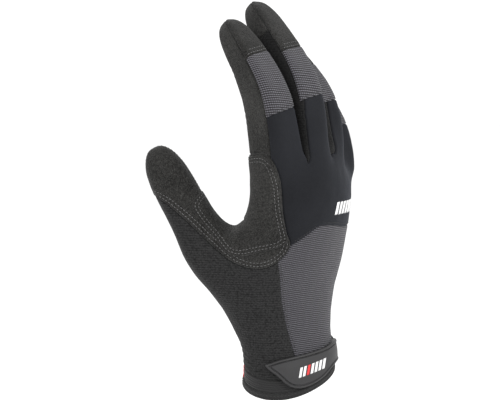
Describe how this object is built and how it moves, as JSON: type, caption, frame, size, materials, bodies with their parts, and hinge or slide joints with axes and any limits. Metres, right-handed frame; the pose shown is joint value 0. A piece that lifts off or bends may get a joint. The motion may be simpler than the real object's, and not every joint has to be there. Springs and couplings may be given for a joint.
{
  "type": "mechanic glove",
  "caption": "Right-hand mechanic glove in its worn form, with suede palm and thumb, knit back, neoprene knuckles and a rubber wrist tab.",
  "frame": {"origin": "centre of the cuff opening, where the hand goes in", "axes": "+Z from the cuff to the fingertips, +Y out of the back of the hand, +X to the thumb side"},
  "size_m": [0.1099, 0.0851, 0.2177],
  "materials": {
    "suede": "matt suede",
    "black_knit": "black stretch knit",
    "grey_knit": "grey ribbed knit",
    "neoprene": "smooth fabric faced neoprene",
    "tab_rubber": "moulded matt rubber",
    "elastic": "ribbed elastic",
    "binding": "woven binding tape"
  },
  "bodies": {
    "root": {"palm_panel": "suede", "thumb_panel": "suede", "crotch_patch": "suede", "finger_front_index": "suede", "finger_front_middle": "suede", "finger_front_ring": "suede", "finger_front_little": "suede", "fingertip_index": "suede", "fingertip_middle": "suede", "fingertip_ring": "suede", "fingertip_little": "suede", "finger_back_index": "grey_knit", "finger_back_middle": "grey_knit", "finger_back_ring": "grey_knit", "finger_back_little": "grey_knit", "back_panel": "grey_knit", "knuckle_panel": "neoprene", "fourchette_1": "black_knit", "fourchette_2": "black_knit", "fourchette_3": "black_knit", "side_panel": "black_knit", "wrist_band": "elastic", "hem_binding": "binding", "wrist_tab": "tab_rubber", "wrist_strap": "elastic"}
  },
  "joints": []
}
